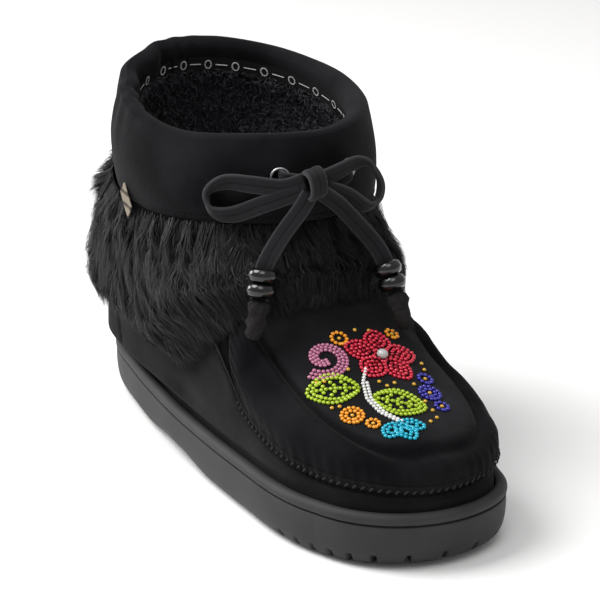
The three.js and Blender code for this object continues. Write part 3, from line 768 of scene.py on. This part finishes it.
def strap(name, path, hints, width=LACE_WIDTH, thick=LACE_THICK, rows=90, material=lace_suede):
    """A flat strap through points in mm, and its line; hints give the way its width lies at each."""
    path, hints = np.array(path, float), np.array(hints, float)
    stations = np.linspace(0, len(path) - 1, rows + 1)
    line = np.stack([curve_at(path[:, k], stations) for k in range(3)], -1)
    tangent = unit(np.gradient(line, axis=0))
    across = np.stack([np.interp(stations, np.arange(len(hints)), hints[:, k]) for k in range(3)], -1)
    across = unit(across - tangent * (across * tangent).sum(1, keepdims=True))
    facing = np.cross(tangent, across)

    def place(u, v):
        i = np.round(v * rows).astype(int)
        angle = 2 * np.pi * u
        flat, tall = np.cos(angle), np.sin(angle)
        wide = np.sign(flat) * np.abs(flat) ** LACE_SQUARE * width / 2
        fold = FOLD_DEPTH * bump_at(wide, 0, FOLD_HALF)
        high = np.sign(tall) * (np.abs(tall) ** LACE_SQUARE * thick / 2 - fold)
        point = line[i] + across[i] * wide[:, None] + facing[i] * high[:, None]
        return point / 1000 + ORIGIN

    made = loft(name, 28, rows, place, ends=True)
    bm = bmesh.new()
    bm.from_mesh(made.data)
    bmesh.ops.recalc_face_normals(bm, faces=bm.faces)
    bm.to_mesh(made.data)
    bm.free()
    spots = points_in_mm(made)
    nearest = np.linalg.norm(spots[:, None] - line[None], axis=2).argmin(1)
    sideways = np.abs(((spots - line[nearest]) * across[nearest]).sum(1)) / (width / 2)
    # how far out from the middle each point lies; the lace's tones paint shade in the fold and highlights on
    # the edges from it
    paint(made, "edge", np.clip(sideways, 0, 1))
    made.data.materials.append(material)
    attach(made, "root")
    return made, line / 1000 + ORIGIN


def line_length(line):
    return float(way_along(line)[-1])


BAR = [
    (24.2, -16, 133.5),
    (28.6, -15.2, 133.2),
    (32, -8, 132),
    (32.6, 0, 131.4),
    (31.6, 9, 132),
    (28.6, 15.2, 133.2),
    (24.2, 16, 133.5),
]
bar, _ = strap("lace_between_eyelets", BAR, [(0, 0.1, 1)] * len(BAR), rows=50)
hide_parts("lace_bar")

LOOP_LATERAL = [
    (36.4, -10.8, 134.4),
    (31.4, -18.5, 131.4),
    (24, -28.6, 132.2),
    (15.4, -37, 132.2),
    (9.4, -42.2, 126.4),
    (11.2, -41, 119.4),
    (18.4, -35, 118.8),
    (27.6, -25.6, 124.2),
    (36.4, -12, 130.4),
]
LATERAL_WIDTH = [
    (0, 0.3, 1),
    (0, 0.2, 1),
    (0, 0.1, 1),
    (0.3, -0.3, 0.9),
    (0.75, -0.55, 0.5),
    (0.6, -0.4, 0.75),
    (0.3, 0, 0.95),
    (0.1, 0.3, 1),
    (0, 0.3, 1),
]
loop_lateral, loop_lateral_line = strap("lace_loop_outer", LOOP_LATERAL, LATERAL_WIDTH)
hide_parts("lace_loop_lateral")
LOOP_MEDIAL = [
    (37, -3.4, 134.4),
    (35.8, 6, 136.6),
    (34.2, 14.4, 138.4),
    (33.8, 21.8, 136.4),
    (34.7, 26, 129.2),
    (36.4, 24, 122),
    (38.4, 17.7, 120.2),
    (38.4, 8, 126.4),
    (38, -1.6, 130.6),
]
MEDIAL_WIDTH = [
    (0.1, -0.3, 1),
    (0.2, -0.2, 1),
    (0.4, -0.1, 0.9),
    (0.85, -0.35, 0.3),
    (0.95, -0.2, 0.1),
    (0.9, -0.1, 0.35),
    (0.7, 0.1, 0.7),
    (0.2, -0.3, 1),
    (0, -0.3, 1),
]
loop_medial, loop_medial_line = strap("lace_loop_inner", LOOP_MEDIAL, MEDIAL_WIDTH)
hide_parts("lace_loop_medial")

END_LATERAL = [
    (38.8, -9.4, 129.5),
    (38.2, -14, 122.5),
    (37.6, -21.5, 113.5),
    (38.6, -28.4, 105),
    (39.6, -31.6, 99.5),
    (41.6, -34.6, 88),
]
END_MEDIAL = [
    (39.4, -4.2, 129.5),
    (39, 4, 123),
    (39.6, 13.5, 112.5),
    (43, 19.6, 104),
    (46.3, 21.8, 97.8),
    (51.6, 23.8, 85.5),
]
LATERAL_LIES, MEDIAL_LIES = [(0.45, 0.85, 0.2)] * len(END_LATERAL), [(0.35, 0.85, 0.45)] * len(END_MEDIAL)
end_lateral, end_lateral_line = strap("lace_end_outer", END_LATERAL, LATERAL_LIES, rows=60)
end_medial, end_medial_line = strap("lace_end_inner", END_MEDIAL, MEDIAL_LIES, rows=60)
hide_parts("lace_end_lateral")
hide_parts("lace_end_medial")

KNOT = np.array([38.6, -7, 133.2])
# the strip's one turn round the knot, from its middle
KNOT_TURN = [
    (-5, 1, -3.4),
    (-0.6, 0.6, -5.6),
    (3.4, 0, -3.2),
    (4.2, -0.4, 0.6),
    (2.6, -0.8, 4.4),
    (-2, -0.6, 5.4),
    (-5.6, 0, 2.6),
    (-6, 0.6, -1),
]
knot_path, knot_lies = [KNOT + point for point in KNOT_TURN], [(-0.2, 1, 0.15)] * len(KNOT_TURN)
knot_turn, _ = strap("lace_knot_wrap", knot_path, knot_lies, width=8.4, thick=2.6, rows=60)
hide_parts("lace_knot")

# Beads and tips
# Two glossy black beads are threaded on each end of the tie, over a tip of rolled suede, knotted on,
# that keeps them from sliding off.
bead_gloss, _, node = shader("bead_gloss", (0.003, 0.003, 0.004), 0.2, 0.5)
node.inputs["Coat Weight"].default_value = 0.25
BEAD_UPPER = [(2.4, -2.7), (4.2, -2.9), (5.5, -2.1), (6.1, 0)]
BEAD_LOWER = [(5.5, 2.1), (4.2, 2.9), (2.4, 2.7)]
BEAD_BORE = [(2.2, 0), (2.4, -2.7)]
BEAD_PROFILE = BEAD_UPPER + BEAD_LOWER + BEAD_BORE
BEAD_WAYS = ((1, 10.4), (2, 4.2))  # each bead's number, and how far it sits before the strip's end
TIP_SHOULDER = [(1.2, 0.4), (3.2, 0.2), (4.1, 1.6), (4.4, 4), (3.9, 6), (4.3, 9)]
TIP_PROFILE = TIP_SHOULDER + [(3.6, 11.5), (3.7, 13.5), (2.9, 15.4), (1.6, 16.2), (0, 16.3)]
tip_suede, tree, node = shader("tip_suede", (0.019, 0.0178, 0.0176), 0.95, 0.1)
bumped(tree, node, [(noise(tree, 700, 4), 1.0, 0.0012), (noise(tree, 220, 3), 0.8, 0.002)])
ends = {}
for word, line in (("lateral", end_lateral_line), ("medial", end_medial_line)):
    last = Vector(line[-1])
    axis = (last - Vector(line[-8])).normalized()
    ends[word] = []
    for number, before in BEAD_WAYS:
        bead = turned(f"bead_{word}_gloss_{number}", BEAD_PROFILE, last - axis * (before / 1000), axis)
        bead.data.materials.append(bead_gloss)
        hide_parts(f"bead_{word}_{number}")
        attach(bead, "root")
        ends[word].append(bead)
    tip = turned(f"tip_{word}_suede", TIP_PROFILE, last, axis, 36)
    for vert in tip.data.vertices:
        away = vert.co - last
        spin = math.atan2(away.y, away.x)
        crease = 0.13 * math.sin(3 * spin + 500 * away.z) + 0.08 * math.sin(7 * spin - 900 * away.z)
        vert.co += (away - axis * away.dot(axis)) * crease
    tip.data.materials.append(tip_suede)
    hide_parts(f"tip_{word}")
    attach(tip, "root")
    ends[word].append(tip)

for end, line, fittings in (
    (end_lateral, end_lateral_line, ends["lateral"]),
    (end_medial, end_medial_line, ends["medial"]),
):
    length = line_length(line)

# Stitching
# Short stitches of dark grey thread hold the roll to the side wall along its pinked edge. Finer black
# ones close the collar's lower edge over the fur.
thread = shader("thread", (0.027, 0.027, 0.0285), 0.9, 0.05)[0]
black_thread = shader("black_thread", (0.009, 0.009, 0.01), 0.9, 0.05)[0]
TOOTH = 3.4  # from one point of the pinked edge to the next
PINKED_TOP, PINKED_FALL, TOOTH_FALL = 2.6, 3.0, 1.7
PINKED_LIFT, PINKED_STAND = 0.25, 2.1  # the edge lies on the roll, and its points stand off the wall
STITCH_ABOVE = 0.7
ROLL_STITCH, COLLAR_STITCH = (2.5, 1.0, 0.8), (2.0, 0.5, 0.4)  # length, width and height
COLLAR_STITCHES = 150


def scatter(name, sizes, places, normals, alongs, material, fineness=2):
    """Many small rounded lumps as one mesh; sizes are full length, width and height in mm."""
    bm = bmesh.new()
    bmesh.ops.create_icosphere(bm, subdivisions=fineness, radius=0.5)
    shape = np.array([vert.co for vert in bm.verts]) * np.array(sizes) / 1000
    faces = np.array([[vert.index for vert in face.verts] for face in bm.faces])
    bm.free()
    places, normals, alongs = (np.array(value, float) for value in (places, normals, alongs))
    sides = unit(np.cross(normals, alongs))
    alongs = np.cross(sides, normals)
    frames = np.stack([alongs, sides, normals], 1)
    points = places[:, None] + np.einsum("vk,nkc->nvc", shape, frames)
    corners = faces[None] + np.arange(len(places))[:, None, None] * len(shape)
    made = strewn(name, points, corners.reshape(-1, 3).tolist(), material)
    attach(made, "root")
    return made


def seam_level(u, above):
    """The level of the upper that lies a given way above the moccasin seam."""
    low, high = np.full_like(u, 1.2), np.full_like(u, 8.4)
    for _ in range(30):
        middle = (low + high) / 2
        point = section_point(u, middle)
        under = seam_distance(point[:, 0], point[:, 2]) < above
        low, high = np.where(under, middle, low), np.where(under, high, middle)
    return (low + high) / 2


def stitch_row(name, u, level, lift, sizes, material, slant=0.0):
    """A row of stitches laid on the boot, each turned from the row's line by its slant."""
    place = boot_metres(u, level, lift, worked=lift < 2)
    ahead, behind = (boot_metres(u + step, level, 0, worked=False) for step in (0.001, -0.001))
    along = unit(ahead - behind)
    normal = section_normal(u, level)
    made = scatter(name, sizes, place, normal, along + slant * np.cross(normal, along), material)


SEAM_U = np.linspace(0.3, 0.7, 600)
SEAM_WAY = way_along(boot_point(SEAM_U, seam_level(SEAM_U, STITCH_ABOVE), 2.0, worked=False))


def pinked_place(u, v):
    way = u * SEAM_WAY[-1]
    at = np.interp(way, SEAM_WAY, SEAM_U)
    tooth = np.abs(((way / TOOTH) % 1) * 2 - 1)
    above = PINKED_TOP - PINKED_FALL * v - TOOTH_FALL * v * tooth
    fades = ease(u / 0.04) * ease((1 - u) / 0.04)
    return boot_metres(at, seam_level(at, above), PINKED_LIFT + PINKED_STAND * fades * v**1.5)


pinked = loft("pinked_edge", 760, 4, pinked_place, closed=False, inward=True)
pinked.data.materials.append(suede)
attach(pinked, "root")
seam_u = np.interp(np.arange(TOOTH / 2, SEAM_WAY[-1], TOOTH), SEAM_WAY, SEAM_U)
stitch_row("stitches_roll", seam_u, seam_level(seam_u, STITCH_ABOVE), 1.45, ROLL_STITCH, thread, 0.9)
edge_u = np.arange(COLLAR_STITCHES) / COLLAR_STITCHES
stitch_row("stitches_collar", edge_u, collar_edge(edge_u) + 0.13, 4.1, COLLAR_STITCH, black_thread)

# Collar tape
# A flat woven tape sewn round the inside of the collar under the rim, with a plain row of small rings
# and dashes.
TAPE_LOW, TAPE_TALL, TAPE_LIFT = TOP_LEVEL - 0.52, 0.3, -6.75
MARK_LEVEL, MARK_LIFT = TOP_LEVEL - 0.37, -6.95
MARKS, MARK_STITCH = 22, (0.95, 0.62, 0.24)
RING_WIDE, RING_TALL, DASH_STEP = 1.9 / 360, 0.078, 0.62 / 360  # as shares of the way round, or levels
tape = loft(
    "collar_tape",
    240,
    8,
    lambda u, v: boot_metres(u, TAPE_LOW + TAPE_TALL * v, TAPE_LIFT, worked=False),
    inward=True,
)
tape_grey, tree, node = shader("tape", (0.008, 0.008, 0.009), 0.7, 0.2)
bumped(tree, node, [(noise(tree, 1800, 1), 0.4, 0.0003)])
tape.data.materials.append(tape_grey)
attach(tape, "root")
mark_white = shader("tape_mark", (0.55, 0.55, 0.54), 0.7, 0.2)[0]
mark_u, mark_level = [], []
for number in range(MARKS):
    for angle in range(0, 360, 24):
        mark_u.append(number / MARKS + RING_WIDE * math.cos(math.radians(angle)))
        mark_level.append(MARK_LEVEL + RING_TALL * math.sin(math.radians(angle)))
    for step in range(-5, 6):
        mark_u.append((number + 0.5) / MARKS + step * DASH_STEP)
        mark_level.append(MARK_LEVEL)
mark_u, mark_level = np.array(mark_u), np.array(mark_level)
inside = boot_metres(mark_u, mark_level, MARK_LIFT, worked=False)
round_about = boot_metres(mark_u + 0.002, mark_level, MARK_LIFT, worked=False) - inside
facing_in = -section_normal(mark_u, mark_level)
marks = scatter("tape_marks", MARK_STITCH, inside, facing_in, round_about, mark_white, 1)

# Pile
# The lining's pile stands in small black curls under the tape and down the inside of the leg. It is
# woven into the lining's ground.
PILE_COUNT = 26000
PILE_LOW, PILE_TALL, PILE_TOP = 8.2, 3.35, 11.56  # levels
PILE_LIFT = -WALL - 1.8
TAPE_PILE_LIFT, TAPE_PILE_FROM = -6.7, 11.25  # near the tape the pile stands further in, from this level
CURL_LENGTH, CURL_WIDTH = 3.4, 0.13
LEG_ROUND, LEG_LEVEL = 380, 24  # the leg's length round the inside, and the height of one level
pile_u = random.random(PILE_COUNT)
pile_level = PILE_LOW + PILE_TALL * random.random(PILE_COUNT) ** 0.7
under_tape = ease((pile_level - TAPE_PILE_FROM) / 0.15)
pile_lift = PILE_LIFT + (TAPE_PILE_LIFT - PILE_LIFT) * under_tape
curl = random.uniform(0, 2 * np.pi, PILE_COUNT)
pile_rows = []
for share, inward in ((0, 0), (0.5, 2.0), (1, 1.7)):
    turn_u = pile_u + share * CURL_LENGTH * np.cos(curl) / LEG_ROUND
    turn_level = np.minimum(pile_level + share * CURL_LENGTH * np.sin(curl) / LEG_LEVEL, PILE_TOP)
    turn_lift = pile_lift - inward * random.uniform(0.5, 1.3, PILE_COUNT)
    pile_rows.append(boot_metres(turn_u, turn_level, turn_lift, worked=False))
pile_side = random.normal(0, CURL_WIDTH, (PILE_COUNT, 3)) / 1000
pile_tone = np.clip(random.normal(0.5, 0.2, PILE_COUNT), 0, 1)
pile_black, tree, node = shader("pile_curl", (0.008, 0.008, 0.009), 0.7, 0.15)
pile_tones = [(0, (0.022, 0.0215, 0.025)), (1, (0.085, 0.083, 0.094))]
ramped(tree, painted(tree, "shade"), pile_tones, node.inputs["Base Color"])
curls = hairs("pile_curls", pile_rows, pile_side, pile_tone, 1.2, pile_black)
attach(curls, "root")

# Beadwork
# Glass seed beads sewn to the plug in a plain sprig: a red rosette, two lime leaves on a white stem, a
# turquoise bud, a mauve tendril and small blue and orange flowers. Places are mm from its middle.
plug_surface = BVHTree.FromObject(upper, bpy.context.evaluated_depsgraph_get())
SPRIG_CENTRE = (80, -1)
SEED, FINE_SEED, CRYSTAL = 1.8, 1.7, 5.0  # diameters


def moved(x, y, turn, way):
    """A place a given way from another, in a direction in degrees."""
    return x + way * math.cos(math.radians(turn)), y + way * math.sin(math.radians(turn))


def petal(x, y, turn, length, width):
    """A closed petal or leaf outline from its base, turned in degrees."""
    t = np.linspace(0, 2 * np.pi, 60)
    along = length * (1 - np.cos(t)) / 2
    across = width / 2 * np.sin(t) * (np.sin(np.pi * along / length) * 0.35 + 0.75)
    x, y = moved(x, y, turn, along)
    return np.stack(moved(x, y, turn + 90, across), -1)


def spiral(x, y, turn, sweep, start, end):
    """A curl about a place, from one radius to another; angles are in degrees."""
    t = np.linspace(0, 1, 60)
    a = np.radians(turn + sweep * t)
    radius = start + (end - start) * t
    return np.stack([x + radius * np.cos(a), y + radius * np.sin(a)], -1)


def strung(lines, pitch=SEED):
    """Evenly spaced points along lines."""
    places = []
    for line in lines:
        line = np.array(line, float)
        way = way_along(line)
        count = max(2, int(way[-1] / pitch) + 1)
        at = np.linspace(0, way[-1], count)
        places.append(np.stack([np.interp(at, way, line[:, k]) for k in range(2)], -1))
    return np.concatenate(places)


def ringlets(rows):
    """Small closed rings, each from (x, y, radius)."""
    return [spiral(x, y, 0, 340, radius, radius) for x, y, radius in rows]


def sew(name, colour, places, size=SEED, roughness=0.18):
    """Beads of one colour, each dropped onto the plug over its place."""
    spots, normals = [], []
    for x, y in places:
        start = Vector(in_metres(x + SPRIG_CENTRE[0], y + SPRIG_CENTRE[1], 200))
        spot, normal, _, _ = plug_surface.ray_cast(start, Vector((0, 0, -1)))
        spots.append(spot + normal * (0.3 * size / 1000))
        normals.append(normal)
    glass, _, node = shader(name, colour, roughness, 0.5)
    node.inputs["Coat Weight"].default_value = 0.4
    made = scatter(name, (size, size, size * 0.8), spots, normals, [(1, 0, 0)] * len(spots), glass)


def nested(x, y, turn, length, width, shares=(1, 0.6, 0.25)):
    """A petal filled with smaller ones inside it."""
    inner = []
    for share in shares:
        base = moved(x, y, turn, length * (1 - share) * 0.52)
        inner.append(petal(*base, turn, length * share, width * share))
    return inner


rosette = (-13, 10)
red = []
for turn in range(20, 380, 72):
    red += nested(*moved(*rosette, turn, 2.6), turn, 12.5, 9.6)
sew("beads_red", (0.6, 0.009, 0.04), strung(red))
stem = [(-7, -1), (0, -6), (9, -9), (18, -8), (25, -4)]
stem_edge = [(x + 0.4, y + 1.7) for x, y in stem[1:]]
sew("beads_white", (0.8, 0.8, 0.78), strung([stem, stem_edge], FINE_SEED), FINE_SEED)
lime = []
for x, y, turn in ((2, -9, -112), (9, -6, 58)):
    lime += [petal(x, y, turn, 21, 14), petal(x, y, turn, 19, 10.6)]
    lime.append([(x, y), moved(x, y, turn, 19)])
    for way in (4, 8.5, 13):
        base = moved(x, y, turn, way)
        for side in (-50, 50):
            lime.append([base, moved(*base, turn + side, 4.4)])
sew("beads_lime", (0.4, 0.56, 0.014), strung(lime))
bud = []
for turn, length, breadth in ((6, 12, 7), (62, 11, 6.6), (-50, 11, 6.6)):
    bud += nested(26.5, -5, turn, length, breadth, (1, 0.5))
sew("beads_turquoise", (0.0, 0.42, 0.58), strung(bud))
tendril = [spiral(-18, -14, -60, 420, 11.5 - 1.8 * row, 3.6 - 1.2 * row) for row in range(3)]
sew("beads_mauve", (0.48, 0.16, 0.27), strung(tendril))
blue = ringlets([(11, 19, 4.2), (11, 19, 2.4), (20, 19.5, 2.6), (2, 22, 2.8)])
sew("beads_blue", (0.032, 0.026, 0.34), strung(blue))
orange = ringlets([(15, -19, 4.4), (15, -19, 2.6), (23, -14, 2.5), (-26, -3, 3.2), (-26, 22, 2.4)])
sew("beads_orange", (0.9, 0.34, 0.011), strung(orange))
flower_middles = [(11, 19), (20, 19.5), (2, 22), (15, -19), (23, -14), (-26, -3), (-26, 22)]
strays = [(5, 15), (16, 14), (29, 9), (27, 13), (7, -24), (8, -21), (-8, -23), (-7, -20), (-9, -8)]
strays += [(-29, 6), (-28, 12), (4, 3), (1, 1), (3, 7), (-4, 25), (-8, 26), (22, 14)]
sew("beads_gold", (0.72, 0.4, 0.03), flower_middles + strays, FINE_SEED, 0.12)
sew("beads_crystal", (0.5, 0.51, 0.5), [rosette], CRYSTAL, 0.08)

# Label
# A small beige woven label, caught in the collar's seam on the outer side and lying on the fur, with
# plain darker bands.
LABEL_PATH = [(0.235, 10.35, 4.2), (0.248, 10.17, 5.4), (0.261, 10.02, 7.0)]  # u, level and lift
LABEL_WIDTH, LABEL_THICK, LABEL_LIES = 7.2, 0.8, (0.58, 0, 0.81)
LABEL_BANDS = 66  # how closely the bands follow one another
woven, tree, node = shader("woven_label", (0.2, 0.17, 0.13), 0.9, 0.1)
where = tree.nodes.new("ShaderNodeTexCoord")
bands = tree.nodes.new("ShaderNodeTexWave")
bands.bands_direction = "Z"
bands.inputs["Scale"].default_value = LABEL_BANDS
tree.links.new(where.outputs["Object"], bands.inputs["Vector"])
weave_tones = [(0.1, (0.06, 0.052, 0.044)), (0.4, (0.22, 0.19, 0.15))]
ramped(tree, bands.outputs["Fac"], weave_tones, node.inputs["Base Color"])
label_u, label_level, label_lift = np.array(LABEL_PATH).T
label_line = boot_point(label_u, label_level, label_lift, worked=False)
label_lies = [LABEL_LIES] * len(LABEL_PATH)
label, _ = strap("label_woven", label_line, label_lies, LABEL_WIDTH, LABEL_THICK, 20, woven)
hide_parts("side_label")

# Stage
# A pale floor, soft light from above on both sides, and the camera at the photograph's angle. Places and
# sizes here are in metres.
FLOOR_HALF = 6
bm = bmesh.new()
bmesh.ops.create_grid(bm, x_segments=1, y_segments=1, size=FLOOR_HALF)
floor = finish_mesh("floor", bm)
floor.data.materials.append(shader("floor_white", (0.955, 0.947, 0.942), 0.9, 0.1)[0])

world = bpy.data.worlds.new("studio")
world.use_nodes = True
world.node_tree.nodes["Background"].inputs["Color"].default_value = (1, 1, 1, 1)
world.node_tree.nodes["Background"].inputs["Strength"].default_value = 0.44
bpy.context.scene.world = world
bpy.context.scene.view_settings.view_transform = "Standard"


def soft_light(name, place, aim, size, power):
    """A round soft lamp at a place, aimed at another; power in watts."""
    lamp = bpy.data.lights.new(name, "AREA")
    lamp.shape = "DISK"
    lamp.size = size
    lamp.energy = power
    made = bpy.data.objects.new(name, lamp)
    made.location = place
    made.rotation_euler = (Vector(aim) - Vector(place)).to_track_quat("-Z", "Y").to_euler()
    bpy.context.collection.objects.link(made)


soft_light("light_top", (-0.4, -0.75, 1.4), (0, 0, 0.05), 1.0, 21)
soft_light("light_front", (0.7, -0.3, 1.5), (0.05, 0, 0.05), 1.0, 7)
soft_light("light_side", (-1.3, -1.0, 0.6), (0, 0, 0.08), 0.8, 14)

VIEW_TURN, VIEW_RISE, VIEW_AWAY = math.radians(62.5), math.radians(21.6), 1.2
AIM_RIGHT, AIM_UP = 0.0057, 0.0672  # the picture's middle, from the middle of the sole
SENSOR, LENS = 36, 163.8  # mm
right = Vector((math.cos(VIEW_TURN), math.sin(VIEW_TURN), 0))
ahead = Vector((-math.sin(VIEW_TURN), math.cos(VIEW_TURN), 0))
back = Vector((0, 0, math.sin(VIEW_RISE))) - ahead * math.cos(VIEW_RISE)
camera = bpy.data.objects.new("camera", bpy.data.cameras.new("camera"))
camera.location = back * VIEW_AWAY + Vector(ORIGIN)
aim = Vector(ORIGIN) + right * AIM_RIGHT + back.cross(right) * AIM_UP
camera.rotation_euler = (aim - camera.location).to_track_quat("-Z", "Y").to_euler()
camera.data.sensor_width = SENSOR
camera.data.lens = LENS
bpy.context.collection.objects.link(camera)
bpy.context.scene.camera = camera
